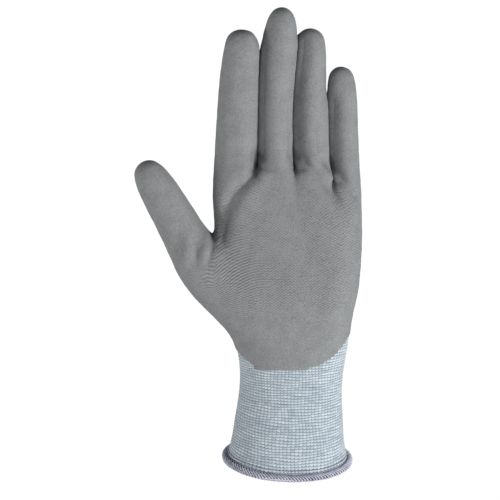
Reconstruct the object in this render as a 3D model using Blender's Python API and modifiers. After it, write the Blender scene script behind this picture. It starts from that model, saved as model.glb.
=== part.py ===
"""Cut resistant work glove for the left hand, size 8, in the shape it takes on a hand.

A seamless knitted liner (five finger tubes, palm and wrist in one knitting) carries a thin dipped
coating on the palm side and round the fingertips. The wrist holds a laid-in elastic yarn and ends
in an overlocked edge. Liner and coating are split at the places where the glove folds, so that each
length of finger is a piece of its own that turns about its fold line.

Frame: metres, +Z from the wrist to the fingertips, palm facing -Y, thumb at -X.
The origin is the middle of the wrist opening. Tables below are in millimetres.
"""

import math

import bmesh
import bpy
from mathutils import Matrix, Vector
from mathutils.bvhtree import BVHTree

MM = 0.001

# Overall sizes, in millimetres: from the hem to the middle fingertip, and across the palm
GLOVE_LENGTH = 236.0
PALM_WIDTH = 76.0
# What the tables below are drawn for; they are graded to the overall sizes
DRAWN_LENGTH = 236.0
DRAWN_WIDTH = 76.0
LONG = GLOVE_LENGTH / DRAWN_LENGTH
WIDE = PALM_WIDTH / DRAWN_WIDTH

# Thickness of each layer, in millimetres
LINER_WALL = 0.9
COATING_WALL = 0.4
LAYER_GAP = 0.3
FOLD_GAP = 0.6

# Wrist fold: the knitted band between cuff and palm that stretches as the wrist bends
WRIST_BAND_LOW = 33.0 * LONG
WRIST_BAND_HIGH = 45.5 * LONG

# Where the knitting goes from the palm with the thumb to the palm of the four fingers
PALM_CHANGE = 117.0 * LONG

# The fold line lies this far outside the coating's nominal face
FOLD_CLEARANCE = 0.4

# Edge of the wrist opening
HEM_TILT = math.radians(14.0)
HEM_ROLL = math.radians(3.4)
HEM_WIDTH = 4.2
HEM_OVERLAP = 2.2
HEM_DROP = 2.4
NEEDLE_THREAD = 0.5
NEEDLE_RISE = 2.9
ELASTIC_YARN = 0.6
ELASTIC_PITCH = 3.2
ELASTIC_LOW = 12.0
ELASTIC_HIGH = 30.0

SUBDIVISIONS = 1
# A closed cubic spline through eight control points on a circle runs inside them by this share
RING_8 = 3.0 / (2.0 + math.cos(math.tau / 8.0))

# Twelve columns run across the palm side and twelve across the back. A finger takes three of them,
# and the narrow strip between two fingers is the crotch. x, z, palm side y and back y of each.
FINGER_ROW = [
    (-36.2, 147.0, -11.5, 6.0),
    (-26.4, 150.5, -14.2, 8.6),
    (-16.7, 151.5, -13.2, 9.2),
    (-14.3, 151.5, -12.8, 9.6),
    (-6.2, 151.5, -13.4, 11.0),
    (2.2, 150.5, -11.6, 11.0),
    (4.6, 150.0, -10.8, 11.2),
    (13.4, 148.5, -11.0, 11.8),
    (22.0, 143.5, -8.4, 11.4),
    (24.4, 142.5, -7.8, 11.2),
    (30.6, 141.5, -7.4, 11.8),
    (36.6, 139.5, -4.2, 9.4),
]
COLUMNS = len(FINGER_ROW)

# Rows below the fingers, from the knuckles down to the hem. Each has its left and right ends (x, z),
# the palm side and back depths, how square its section is, and how far its palm side sags in z.
PALM_ROWS = {
    "knuckles": ((-37.7, 133.0), (37.8, 129.0), -16.4, 12.4, 2.6, 0.0),
    "thumb_top": ((-36.5, 115.0), (38.2, 113.0), -17.0, 13.6, 2.5, 0.0),
    "thumb_middle": ((-40.0, 101.0), (37.6, 99.0), -19.0, 14.6, 2.4, 0.0),
    "thumb_bottom": ((-44.0, 86.0), (35.8, 85.0), -20.6, 15.4, 2.3, 0.0),
    "heel": ((-32.4, 70.5), (32.7, 72.0), -20.8, 16.2, 2.2, 0.0),
    "coating_edge": ((-24.8, 58.0), (30.2, 62.0), -19.6, 16.8, 2.1, -14.5),
    "wrist": ((-23.2, 38.0), (27.8, 38.0), -18.6, 17.6, 2.0, 0.0),
    "cuff_middle": ((-26.6, 20.0), (29.2, 20.0), -20.2, 19.4, 2.0, 0.0),
    "cuff_low": ((-29.0, 7.0), (29.8, 7.0), -21.4, 21.0, 2.0, 0.0),
    "hem": ((-31.4, 0.0), (32.0, 0.0), -22.4, 22.4, 2.0, 0.0),
}
# Where the thumb leaves the palm: its section's front, outer and back points on each thumb row
THUMB_ROOT = {
    "thumb_top": ((-35.8, -14.0, 112.5), (-36.2, -4.0, 115.8), (-35.6, 6.4, 113.0)),
    "thumb_middle": ((-42.8, -18.6, 99.5), None, (-41.2, 9.6, 100.0)),
    "thumb_bottom": ((-49.0, -15.6, 86.6), (-54.2, -4.6, 89.6), (-48.0, 6.6, 87.0)),
}

# Each digit: stations from the root to the tip as (x, y, z, width, depth), the last one the tip's
# end, and how far up its length the folds lie.
DIGITS = {
    "index": (
        [
            (-26.3, -2.6, 159.0, 19.4, 18.4),
            (-25.7, -2.7, 179.0, 18.4, 17.4),
            (-24.8, -3.2, 197.0, 17.2, 16.4),
            (-23.5, -4.0, 212.0, 16.0, 15.0),
            (-22.7, -4.6, 221.4, 12.4, 11.8),
            (-22.4, -4.8, 225.4, 0.0, 0.0),
        ],
        {"root": 160.5, "middle": 179.5, "tip": 201.5},
    ),
    "middle": (
        [
            (-6.4, -1.0, 159.0, 15.7, 18.0),
            (-6.6, -0.9, 180.0, 15.5, 17.6),
            (-5.6, -1.4, 201.0, 16.3, 16.8),
            (-4.1, -2.1, 216.0, 16.8, 16.0),
            (-2.9, -2.7, 226.4, 14.8, 13.8),
            (-2.5, -3.0, 232.6, 10.2, 9.8),
            (-2.4, -3.1, 235.8, 0.0, 0.0),
        ],
        {"root": 160.5, "middle": 183.0, "tip": 208.5},
    ),
    "ring": (
        [
            (11.8, 0.8, 158.0, 16.4, 17.2),
            (11.3, 1.0, 175.0, 17.0, 16.8),
            (11.2, 0.9, 190.0, 15.8, 16.2),
            (11.5, 0.4, 206.0, 13.4, 15.0),
            (11.8, 0.0, 219.8, 11.4, 12.2),
            (11.7, -0.2, 225.2, 0.0, 0.0),
        ],
        {"root": 159.0, "middle": 180.0, "tip": 202.0},
    ),
    "little": (
        [
            (29.6, 3.2, 152.0, 13.4, 14.8),
            (28.7, 3.4, 166.0, 13.6, 14.4),
            (28.4, 3.4, 180.0, 13.4, 13.8),
            (28.0, 3.0, 192.5, 12.8, 12.8),
            (27.6, 2.6, 200.8, 9.2, 9.6),
            (27.5, 2.5, 203.9, 0.0, 0.0),
        ],
        {"root": 153.5, "middle": 169.0, "tip": 185.0},
    ),
    "thumb": (
        [
            (-50.2, -4.6, 112.5, 22.4, 20.4),
            (-56.0, -5.4, 123.5, 20.6, 19.4),
            (-62.0, -6.6, 134.5, 19.4, 18.4),
            (-68.2, -7.8, 145.6, 17.6, 16.4),
            (-72.6, -8.6, 153.2, 12.4, 11.8),
            (-74.6, -9.0, 156.8, 0.0, 0.0),
        ],
        {"root": 117.5, "tip": 134.0},
    ),
}


def graded(x, y, z, *widths):
    return (x * WIDE, y * WIDE, z * LONG, *(width * WIDE for width in widths))


FINGER_ROW = [(x * WIDE, z * LONG, front * WIDE, back * WIDE) for x, z, front, back in FINGER_ROW]
for row, (left, right, front, back, squareness, sag) in PALM_ROWS.items():
    left, right = ((x * WIDE, z * LONG) for x, z in (left, right))
    PALM_ROWS[row] = (left, right, front * WIDE, back * WIDE, squareness, sag * LONG)
for row, points in THUMB_ROOT.items():
    THUMB_ROOT[row] = tuple(point and graded(*point) for point in points)
for name, (stations, folds) in DIGITS.items():
    folds = {fold: height * LONG for fold, height in folds.items()}
    DIGITS[name] = ([graded(*station) for station in stations], folds)

FINGERS = ["index", "middle", "ring", "little"]
LENGTHS = {
    "index": ["proximal", "middle", "distal"],
    "middle": ["proximal", "middle", "distal"],
    "ring": ["proximal", "middle", "distal"],
    "little": ["proximal", "middle", "distal"],
    "thumb": ["proximal", "distal"],
}
FOLDS = {
    "index": ["root", "middle", "tip"],
    "middle": ["root", "middle", "tip"],
    "ring": ["root", "middle", "tip"],
    "little": ["root", "middle", "tip"],
    "thumb": ["root", "tip"],
}
# Marks of the faces in a fold's gap, and of those between the two palms, which only the coating keeps
FOLD = -1
UNDER_COATING = -2

# How many stations below the tip the coating goes all the way round
FULL_DIP_STATIONS = 2

COLOURS = {
    "liner": (0.60, 0.66, 0.70),
    "coating": (0.24, 0.24, 0.24),
    "binding": (0.28, 0.28, 0.36),
    "thread": (0.36, 0.36, 0.44),
    "elastic": (0.75, 0.77, 0.76),
}


def clear_scene():
    for obj in list(bpy.data.objects):
        bpy.data.objects.remove(obj)


def make_collection(name, hidden=False):
    collection = bpy.data.collections.new(name)
    bpy.context.scene.collection.children.link(collection)
    collection.hide_render = hidden
    return collection


def make_material(name, roughness):
    material = bpy.data.materials.new(name)
    material.use_nodes = True
    shader = material.node_tree.nodes["Principled BSDF"]
    shader.inputs["Base Color"].default_value = (*COLOURS[name], 1.0)
    shader.inputs["Roughness"].default_value = roughness
    shader.inputs["Metallic"].default_value = 0.0
    return material


def row_section(row):
    """A palm row's columns: the palm side points, the back points and the two side points."""
    (left_x, left_z), (right_x, right_z), front, back, squareness, sag = PALM_ROWS[row]
    first, last = FINGER_ROW[0][0], FINGER_ROW[-1][0]
    middle_y = (front + back) / 2
    palm_side, back_side = [], []
    for x, *_ in FINGER_ROW:
        share = (x - first) / (last - first)
        across = 2 * share - 1
        height = left_z + (right_z - left_z) * share
        # The outermost columns lie a little way round the section, not at its very sides
        round_share = (1 - abs(0.93 * across) ** squareness) ** (1 / squareness)
        place = left_x + (right_x - left_x) * (0.5 + 0.5 * 0.95 * across)
        drop = sag * (1 - abs(across) ** 3)
        palm_side.append(
            Vector((place, middle_y + (front - middle_y) * round_share, height + drop))
        )
        back_side.append(
            Vector((place, middle_y + (back - middle_y) * round_share, height))
        )
    left = Vector((left_x - 0.8, middle_y, left_z))
    right = Vector((right_x + 0.8, middle_y, right_z))
    return palm_side, right, back_side, left


def hem_plane_height(x, y):
    """The wrist opening is cut on a slant: lower on the palm side and on the little finger's side."""
    return y * math.tan(HEM_TILT) - x * math.tan(HEM_ROLL)


def palm_ring(bm, row):
    """One row of the palm as a closed ring of vertices: palm side, right, back, left."""
    palm_side, right, back_side, left = row_section(row)
    if row in THUMB_ROOT:
        front, outer, back = THUMB_ROOT[row]
        palm_side[0] = Vector(front)
        back_side[0] = Vector(back)
        left = Vector(outer) if outer else None
    points = palm_side + [right] + back_side[::-1] + [left]
    if row in ("hem", "cuff_low"):
        share = 1.0 if row == "hem" else 0.6
        for point in points:
            point.z += share * hem_plane_height(point.x, point.y)
    return [bm.verts.new(point * MM) if point else None for point in points]


def finger_row_rings(bm):
    """The row where the fingers begin: its outer ring, and the point inside each crotch edge."""
    palm_side = [bm.verts.new(Vector((x, front, z)) * MM) for x, z, front, _ in FINGER_ROW]
    back_side = [bm.verts.new(Vector((x, back, z)) * MM) for x, z, _, back in FINGER_ROW]
    middles = {}
    for column, (x, z, front, back) in enumerate(FINGER_ROW):
        if column % 3 == 1:
            continue
        outward = {0: -1.4, COLUMNS - 1: 1.4}.get(column, 0.0)
        middles[column] = bm.verts.new(Vector((x + outward, (front + back) / 2, z)) * MM)
    return palm_side, back_side, middles


def digit_axis(name):
    stations = DIGITS[name][0]
    return (Vector(stations[-1][:3]) - Vector(stations[0][:3])).normalized()


def digit_section(name, station):
    """Eight control points round a digit, from its outer palm side corner, going by the palm side."""
    x, y, z, width, depth = station
    along = digit_axis(name)
    back = Vector((0.0, 1.0, 0.0))
    back = (back - back.dot(along) * along).normalized()
    side = back.cross(along)
    centre = Vector((x, y, z))
    points = []
    for step in range(8):
        angle = math.tau * (step - 1) / 8
        sideways = math.sin(angle) * width / 2 * RING_8
        palmwards = math.cos(angle) * depth / 2 * RING_8
        points.append(centre + side * sideways - back * palmwards)
    return points


def bridge(bm, lower, upper, digit, coated, tags):
    """Quads between two rings of the same length. coated says which of them the dip covers."""
    count = len(lower)
    for step in range(count):
        corners = [lower[step], lower[(step + 1) % count], upper[(step + 1) % count], upper[step]]
        if None in corners:
            continue
        face = bm.faces.new(corners)
        face[tags["digit"]] = digit
        face[tags["coated"]] = int(coated(step))


def grow_digit(bm, name, root_ring, number, tags):
    """Skins a digit from its root ring through its stations, and closes the tip."""
    stations = DIGITS[name][0]
    ring = root_ring
    for index, station in enumerate(stations[:-1]):
        upper = [bm.verts.new(point * MM) for point in digit_section(name, station)]
        dipped_round = index > len(stations) - 2 - FULL_DIP_STATIONS

        def coated(step, dipped_round=dipped_round):
            return dipped_round or step in (7, 0, 1, 2)

        bridge(bm, ring, upper, number, coated, tags)
        ring = upper
    tip = bm.verts.new(Vector(stations[-1][:3]) * MM)
    for step in (0, 2, 4, 6):
        corners = [ring[step - 1], ring[step], ring[step + 1], tip]
        face = bm.faces.new(corners)
        face[tags["digit"]] = number
        face[tags["coated"]] = 1


def build_cage():
    """The whole glove as one coarse cage, open at the wrist."""
    bm = bmesh.new()
    tags = {
        "digit": bm.faces.layers.int.new("digit"),
        "coated": bm.faces.layers.int.new("coated"),
    }
    palm_side, back_side, middles = finger_row_rings(bm)
    outer = palm_side + [middles[COLUMNS - 1]] + back_side[::-1] + [middles[0]]
    dipped_rows = ["knuckles", "thumb_top", "thumb_middle", "thumb_bottom", "heel", "coating_edge"]
    upper = outer
    rings = {}
    for row in PALM_ROWS:
        lower = palm_ring(bm, row)
        rings[row] = lower

        def coated(step, row=row):
            on_palm_side = step <= COLUMNS or step == 2 * COLUMNS + 1
            return on_palm_side and row in dipped_rows

        bridge(bm, lower, upper, 0, coated, tags)
        upper = lower
    for column in (2, 5, 8):
        for near, far, is_coated in ((palm_side, middles, 1), (middles, back_side, 0)):
            corners = [near[column], near[column + 1], far[column + 1], far[column]]
            face = bm.faces.new(corners)
            face[tags["digit"]] = 0
            face[tags["coated"]] = is_coated
    for number, name in enumerate(FINGERS, start=1):
        left, centre, right = (3 * (number - 1) + offset for offset in range(3))
        root = [
            palm_side[left],
            palm_side[centre],
            palm_side[right],
            middles[right],
            back_side[right],
            back_side[centre],
            back_side[left],
            middles[left],
        ]
        grow_digit(bm, name, root, number, tags)
    last = 2 * COLUMNS + 1
    root = [
        rings["thumb_bottom"][0],
        rings["thumb_middle"][0],
        rings["thumb_top"][0],
        rings["thumb_top"][last],
        rings["thumb_top"][last - 1],
        rings["thumb_middle"][last - 1],
        rings["thumb_bottom"][last - 1],
        rings["thumb_bottom"][last],
    ]
    grow_digit(bm, "thumb", root, 5, tags)
    bmesh.ops.recalc_face_normals(bm, faces=bm.faces[:])
    mesh = bpy.data.meshes.new("glove_cage")
    bm.to_mesh(mesh)
    bm.free()
    return mesh


def smooth_form(helpers):
    """The cage rounded by Subdivision Surface, as a mesh: the outside of the liner."""
    cage = bpy.data.objects.new("glove_form", build_cage())
    helpers.objects.link(cage)
    cage.hide_render = True
    cage.display_type = "WIRE"
    rounding = cage.modifiers.new("rounding", "SUBSURF")
    rounding.levels = SUBDIVISIONS
    rounding.render_levels = SUBDIVISIONS
    graph = bpy.context.evaluated_depsgraph_get()
    return bpy.data.meshes.new_from_object(cage.evaluated_get(graph))


def fold_point(name, fold):
    """The point on a digit's centre line where a fold lies."""
    stations, folds = DIGITS[name]
    height = folds[fold]
    for low, high in zip(stations[:-1], stations[1:]):
        if low[2] <= height <= high[2] or high is stations[-1] or height < low[2]:
            share = (height - low[2]) / (high[2] - low[2])
            return Vector(low[:3]).lerp(Vector(high[:3]), share)
    return None


def fold_depth(name, fold):
    stations, folds = DIGITS[name]
    height = folds[fold]
    for low, high in zip(stations[:-1], stations[1:]):
        if height <= high[2]:
            share = (height - low[2]) / (high[2] - low[2])
            return low[4] + (high[4] - low[4]) * share
    return stations[-2][4]


def fold_axis_point(name, fold):
    """The fold line: across the palm side of the coating, which bends but doesn't stretch."""
    along = digit_axis(name)
    back = Vector((0.0, 1.0, 0.0))
    back = (back - back.dot(along) * along).normalized()
    reach = fold_depth(name, fold) / 2 + LAYER_GAP + COATING_WALL + FOLD_CLEARANCE
    return fold_point(name, fold) - back * reach


def cut_in_lengths(form):
    """Cuts the form across at each fold and names the length that every face belongs to."""
    bm = bmesh.new()
    bm.from_mesh(form)
    digit = bm.faces.layers.int["digit"]
    length = bm.faces.layers.int.new("length")
    names = {0: "palm_lower", 1: "cuff", 2: "wrist", 3: "palm_upper"}

    def cut(faces, point, normal):
        edges = {edge for face in faces for edge in face.edges}
        verts = {vert for face in faces for vert in face.verts}
        bmesh.ops.bisect_plane(
            bm,
            geom=list(faces) + list(edges) + list(verts),
            plane_co=point * MM,
            plane_no=normal,
            dist=1e-7,
        )

    up = Vector((0.0, 0.0, 1.0))
    half = FOLD_GAP / 2
    levels = [
        WRIST_BAND_LOW - half,
        WRIST_BAND_LOW + half,
        WRIST_BAND_HIGH - half,
        WRIST_BAND_HIGH + half,
        PALM_CHANGE - LAYER_GAP / 2,
        PALM_CHANGE + LAYER_GAP / 2,
    ]
    for level in levels:
        cut([f for f in bm.faces if f[digit] == 0], Vector((0.0, 0.0, level)), up)
    lengths_going_up = [1, FOLD, 2, FOLD, 0, UNDER_COATING, 3]
    for face in bm.faces:
        if not face[digit]:
            z = face.calc_center_median().z / MM
            face[length] = lengths_going_up[sum(z > level for level in levels)]
    number = len(names)
    for which, name in enumerate([*FINGERS, "thumb"], start=1):
        along = digit_axis(name)
        for fold in FOLDS[name]:
            point = fold_point(name, fold)
            for side in (-half, half):
                cut([f for f in bm.faces if f[digit] == which], point + along * side, along)
        places = [fold_point(name, fold).dot(along) for fold in FOLDS[name]]
        for face in bm.faces:
            if face[digit] != which:
                continue
            place = (face.calc_center_median() / MM).dot(along)
            if any(abs(place - fold) < half for fold in places):
                face[length] = FOLD
                continue
            passed = sum(place > fold for fold in places)
            base = 0 if name == "thumb" else 3
            face[length] = number + passed - 1 if passed else base
        for part in LENGTHS[name]:
            names[number] = f"{name}_{part}"
            number += 1
    return bm, names


def piece_mesh(name, bm, keep):
    """A copy of the faces that keep() picks."""
    copy = bm.copy()
    digits = copy.faces.layers.int["digit"]
    lengths = copy.faces.layers.int["length"]
    coats = copy.faces.layers.int["coated"]
    unwanted = [f for f in copy.faces if not keep(f[digits], f[lengths], f[coats])]
    bmesh.ops.delete(copy, geom=unwanted, context="FACES")
    loose = [v for v in copy.verts if not v.link_faces]
    bmesh.ops.delete(copy, geom=loose, context="VERTS")
    mesh = bpy.data.meshes.new(name)
    copy.to_mesh(mesh)
    copy.free()
    mesh.shade_smooth()
    return mesh


def add_object(name, mesh, collection, material):
    obj = bpy.data.objects.new(name, mesh)
    mesh.materials.clear()
    mesh.materials.append(material)
    collection.objects.link(obj)
    return obj


def add_wall(obj, thickness, outwards):
    wall = obj.modifiers.new("wall", "SOLIDIFY")
    wall.thickness = thickness * MM
    wall.offset = 1.0 if outwards else -1.0
    wall.use_even_offset = False
    wall.use_rim = True


def make_shells(collection, materials, helpers):
    """Liner and coating of every length, as open surfaces given their wall by Solidify."""
    form = smooth_form(helpers)
    bm, names = cut_in_lengths(form)
    made = {"palm": []}
    for number, part in names.items():
        liner = piece_mesh(
            f"{part}_liner", bm, lambda digit, length, coat, n=number: length == n
        )
        obj = add_object(f"{part}_liner", liner, collection, materials["liner"])
        add_wall(obj, LINER_WALL, outwards=False)
        body = "palm" if part in ("palm_lower", "palm_upper") else part
        made.setdefault(body, []).append(obj)
    coated = {part: [number] for number, part in names.items() if "palm" not in part}
    coated["palm"] = [0, UNDER_COATING, 3]
    for part, numbers in coated.items():
        coating = piece_mesh(
            f"{part}_coating", bm, lambda digit, length, coat, n=numbers: length in n and coat
        )
        if not coating.polygons:
            continue
        obj = add_object(f"{part}_coating", coating, collection, materials["coating"])
        lift = obj.modifiers.new("lift", "DISPLACE")
        lift.strength = LAYER_GAP * MM
        lift.mid_level = 0.0
        add_wall(obj, COATING_WALL, outwards=True)
        made[part].append(obj)
    return made, bm


def opening_frames(bm):
    """The wrist opening's edge in order: each point with its outward and downward directions."""
    edge = [e for e in bm.edges if e.is_boundary and max(v.co.z for v in e.verts) < 0.03]
    start = max((v for e in edge for v in e.verts), key=lambda v: (round(v.co.x, 6), v.co.y))
    order, before = [start], None
    while True:
        here = order[-1]
        nearby = [e.other_vert(here) for e in here.link_edges if e.is_boundary]
        onwards = [v for v in nearby if v is not before]
        following = onwards[0] if before else max(nearby, key=lambda v: v.co.y)
        if following is start:
            break
        before = here
        order.append(following)
    frames = []
    for step, vert in enumerate(order):
        ahead = (order[(step + 1) % len(order)].co - order[step - 1].co).normalized()
        outwards = (vert.normal - vert.normal.dot(ahead) * ahead).normalized()
        frames.append((vert.co / MM, outwards, outwards.cross(ahead).normalized()))
    if frames[0][2].z > 0:
        frames = [(place, outwards, -downwards) for place, outwards, downwards in frames]
    return frames


def sweep_ring(name, frames, section, collection, material):
    """A closed ring: a section (outwards, downwards) carried round the wrist opening's edge."""
    bm = bmesh.new()
    rings = []
    for place, outwards, downwards in frames:
        rings.append([bm.verts.new((place + outwards * a + downwards * b) * MM) for a, b in section])
    for step, ring in enumerate(rings):
        following = rings[(step + 1) % len(rings)]
        for side in range(len(section)):
            other = (side + 1) % len(section)
            bm.faces.new([ring[side], ring[other], following[other], following[side]])
    bmesh.ops.recalc_face_normals(bm, faces=bm.faces[:])
    mesh = bpy.data.meshes.new(name)
    bm.to_mesh(mesh)
    bm.free()
    mesh.shade_smooth()
    return add_object(name, mesh, collection, material)


def make_binding(frames, collection, material):
    """The overlocked edge: looper threads wrapped round the raw edge, as one ring with a slot."""
    inner = -LINER_WALL - LAYER_GAP
    middle = -LINER_WALL / 2
    half = HEM_WIDTH / 2
    section = [(LAYER_GAP, LAYER_GAP), (LAYER_GAP, -HEM_OVERLAP), (middle + half * 0.8, -HEM_OVERLAP)]
    for step in range(5):
        angle = math.pi * step / 4
        section.append((middle + half * math.cos(angle), HEM_DROP - half + half * math.sin(angle)))
    section += [(middle - half * 0.8, -HEM_OVERLAP), (inner, -HEM_OVERLAP), (inner, LAYER_GAP)]
    return sweep_ring("overlock_binding", frames, section, collection, material)


def make_needle_thread(frames, collection, material):
    """The seam line of the overlock's needle thread, laid on the liner just above the binding."""
    radius = NEEDLE_THREAD / 2
    section = []
    for step in range(5):
        angle = math.tau * step / 5
        outwards = LAYER_GAP + radius + radius * math.cos(angle)
        section.append((outwards, -NEEDLE_RISE + radius * math.sin(angle)))
    return sweep_ring("overlock_needle_thread", frames, section, collection, material)


def make_elastic(bm, collection, material):
    """One elastic yarn laid round and round inside the wrist, as the knitting machine feeds it."""
    inside = BVHTree.FromBMesh(bm)
    steps_per_turn = 20
    count = int((ELASTIC_HIGH - ELASTIC_LOW) / ELASTIC_PITCH * steps_per_turn) + 1
    depth = LINER_WALL + 1.5 * LAYER_GAP + ELASTIC_YARN / 2
    curve = bpy.data.curves.new("cuff_elastic_yarn", "CURVE")
    curve.dimensions = "3D"
    curve.bevel_depth = ELASTIC_YARN / 2 * MM
    curve.bevel_resolution = 0
    curve.use_fill_caps = True
    spline = curve.splines.new("POLY")
    spline.points.add(count - 1)
    for step in range(count):
        angle = math.tau * step / steps_per_turn
        height = ELASTIC_LOW + ELASTIC_PITCH * step / steps_per_turn
        centre = Vector((0.0, 0.0, height)) * MM
        outwards = Vector((math.cos(angle), math.sin(angle), 0.0))
        hit, normal, *_ = inside.ray_cast(centre, outwards)
        point = hit - normal * depth * MM if normal.dot(outwards) > 0 else hit + normal * depth * MM
        spline.points[step].co = (*point, 1.0)
    obj = bpy.data.objects.new("cuff_elastic_yarn", curve)
    curve.materials.append(material)
    collection.objects.link(obj)
    return obj


def add_empty(name, place, parent, collection):
    empty = bpy.data.objects.new(name, None)
    empty.empty_display_size = 0.01
    collection.objects.link(empty)
    empty["place"] = list(place)
    empty.location = place * MM
    if parent:
        empty.parent = parent
        empty.location = (place - Vector(parent["place"])) * MM
    return empty


def hang_on(obj, empty):
    """Gives an object its origin on its joint's axis, and the joint's empty as its parent."""
    place = Vector(empty["place"]) * MM
    obj.data.transform(Matrix.Translation(-place))
    obj.parent = empty


def wrist_axis_point():
    _, _, front, back, *_ = PALM_ROWS["wrist"]
    return Vector((0.0, (front + back) / 2, (WRIST_BAND_LOW + WRIST_BAND_HIGH) / 2))


def main():
    clear_scene()
    glove = make_collection("cut_resistant_glove")
    helpers = make_collection("helpers", hidden=True)
    materials = {
        "liner": make_material("liner", 0.9),
        "coating": make_material("coating", 0.6),
        "binding": make_material("binding", 0.85),
        "thread": make_material("thread", 0.8),
        "elastic": make_material("elastic", 0.7),
    }
    shells, form = make_shells(glove, materials, helpers)
    frames = opening_frames(form)
    cuff_parts = [
        make_binding(frames, glove, materials["binding"]),
        make_needle_thread(frames, glove, materials["thread"]),
        make_elastic(form, glove, materials["elastic"]),
    ]
    form.free()
    cuff = add_empty("cuff", Vector((0.0, 0.0, 0.0)), None, glove)
    palm = add_empty("palm", wrist_axis_point(), cuff, glove)
    for obj in cuff_parts + shells["cuff"] + shells["wrist"]:
        hang_on(obj, cuff)
    for obj in shells["palm"]:
        hang_on(obj, palm)
    for name in [*FINGERS, "thumb"]:
        parent = palm
        for part, fold in zip(LENGTHS[name], FOLDS[name]):
            parent = add_empty(f"{name}_{part}", fold_axis_point(name, fold), parent, glove)
            for obj in shells[f"{name}_{part}"]:
                hang_on(obj, parent)


main()
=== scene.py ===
import math

import bmesh
import bpy
import numpy as np
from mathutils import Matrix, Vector
from mathutils.bvhtree import BVHTree


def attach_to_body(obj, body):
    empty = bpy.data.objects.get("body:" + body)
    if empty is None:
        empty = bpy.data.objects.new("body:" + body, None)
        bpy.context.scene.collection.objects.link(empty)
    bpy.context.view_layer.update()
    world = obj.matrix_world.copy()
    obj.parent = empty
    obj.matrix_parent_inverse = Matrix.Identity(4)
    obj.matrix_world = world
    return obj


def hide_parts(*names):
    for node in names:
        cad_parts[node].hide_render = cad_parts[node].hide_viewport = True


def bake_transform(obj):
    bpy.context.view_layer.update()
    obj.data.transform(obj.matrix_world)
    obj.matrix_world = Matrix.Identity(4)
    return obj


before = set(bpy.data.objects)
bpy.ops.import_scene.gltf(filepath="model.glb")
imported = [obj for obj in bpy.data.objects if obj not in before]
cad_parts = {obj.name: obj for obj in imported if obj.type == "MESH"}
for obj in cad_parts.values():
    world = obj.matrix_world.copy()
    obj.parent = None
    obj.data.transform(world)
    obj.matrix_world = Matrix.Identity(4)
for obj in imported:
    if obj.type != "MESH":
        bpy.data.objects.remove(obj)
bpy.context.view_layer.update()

# The form: the shape that the knitted liner takes on a hand.
# One coarse cage, as a pattern cutter would block it out, rounded by subdivision. The palm has
# twelve columns on each side, each finger takes three of them, and the thumb grows from the side.
MM = 0.001
# The row that the fingers grow from, as x, z, palm side depth and back depth
FINGER_ROW = [
    (-36.2, 147.0, -11.5, 6.0),
    (-26.4, 150.5, -14.2, 8.6),
    (-16.6, 151.5, -13.2, 9.2),
    (-14.4, 151.5, -12.8, 9.6),
    (-6.2, 151.5, -13.4, 11.0),
    (2.4, 150.5, -11.6, 11.0),
    (4.4, 150.0, -10.8, 11.2),
    (13.4, 148.5, -11.0, 11.8),
    (22.2, 143.5, -8.4, 11.4),
    (24.2, 142.5, -7.8, 11.2),
    (30.6, 141.5, -7.4, 11.8),
    (36.6, 139.5, -4.2, 9.4),
]
COLUMNS = len(FINGER_ROW)
# Left and right ends (x, z), palm side and back depths, and how square the section is
PALM_ROWS = {
    "knuckles": ((-37.7, 133.0), (37.8, 129.0), -16.4, 12.4, 2.6),
    "thumb_top": ((-36.5, 115.0), (38.2, 113.0), -17.0, 13.6, 2.5),
    "thumb_middle": ((-40.0, 101.0), (37.6, 99.0), -19.0, 14.6, 2.4),
    "thumb_bottom": ((-44.0, 86.0), (35.8, 85.0), -20.6, 15.4, 2.3),
    "heel": ((-32.4, 70.5), (32.7, 72.0), -20.8, 16.2, 2.2),
    "above_wrist": ((-24.8, 58.0), (32.0, 60.0), -19.6, 16.8, 2.1),
    "wrist": ((-23.2, 38.0), (27.8, 38.0), -18.6, 17.6, 2.0),
    "cuff_middle": ((-26.6, 20.0), (29.2, 20.0), -20.2, 19.4, 2.0),
    "cuff_low": ((-28.2, 7.0), (29.6, 7.0), -21.2, 20.8, 2.0),
    "hem": ((-30.2, 0.0), (31.4, 0.0), -22.0, 22.0, 2.0),
}
# The hem's ring leans down towards the palm side and the right. It takes part of the rows above
# with it, by this share of the slant.
HEM_TILT = math.radians(12.0)
HEM_ROLL = math.radians(2.0)
SLANTED_ROWS = {"hem": 1.0, "cuff_low": 0.6}
# The thumb's root in the palm's edge: palm side, outer and back points of three rows
THUMB_ROOT = {
    "thumb_top": ((-35.8, -14.0, 112.5), (-36.2, -4.0, 115.8), (-35.6, 6.4, 113.0)),
    "thumb_middle": ((-42.8, -18.6, 99.5), None, (-41.2, 9.6, 100.0)),
    "thumb_bottom": ((-49.0, -15.6, 86.6), (-54.2, -4.6, 89.6), (-48.0, 6.6, 87.0)),
}
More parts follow.
